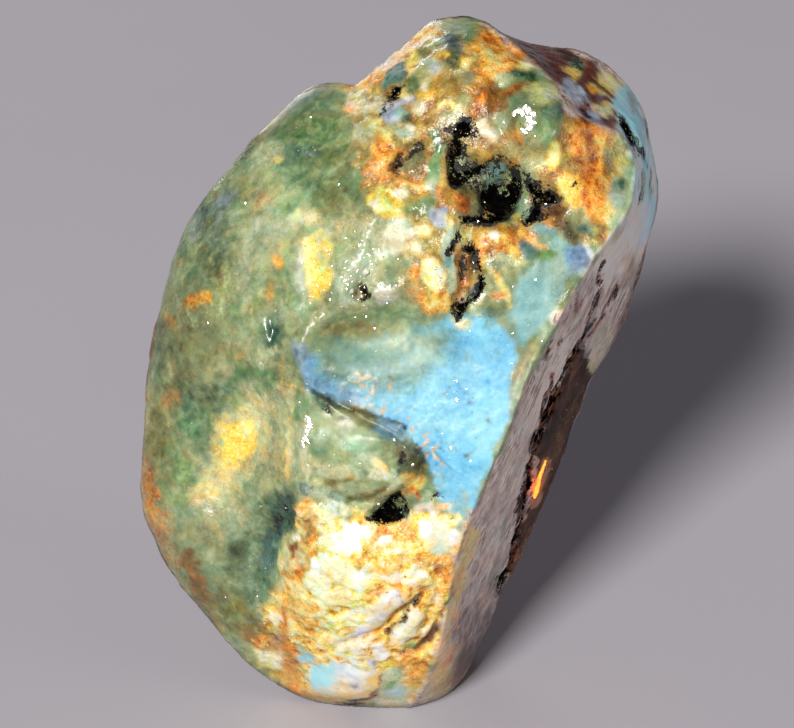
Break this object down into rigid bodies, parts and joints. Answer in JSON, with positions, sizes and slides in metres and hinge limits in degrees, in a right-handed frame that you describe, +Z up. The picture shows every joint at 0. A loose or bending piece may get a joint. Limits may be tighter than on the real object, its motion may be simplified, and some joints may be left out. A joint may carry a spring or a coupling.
{
  "type": "rough amber",
  "caption": "Rough lump of natural amber standing on its narrow end, with a broken glassy face, a granular crust and a weathered brown skin on one flank.",
  "frame": {"origin": "middle of the small natural flat that the lump rests on, at its underside", "axes": "+Z up through the lump as it stands; the broad broken face looks towards -Y, turned 12 degrees to +X; the weathered right flank looks towards +X"},
  "size_m": [0.0309, 0.0271, 0.0438],
  "materials": {
    "amber": "natural fossil resin, partly see-through: glossy glassy fracture with green and blue fluorescence, granular yellow and orange crust, dark red-brown weathered skin"
  },
  "bodies": {
    "root": {"rough_amber": "amber"}
  },
  "joints": []
}
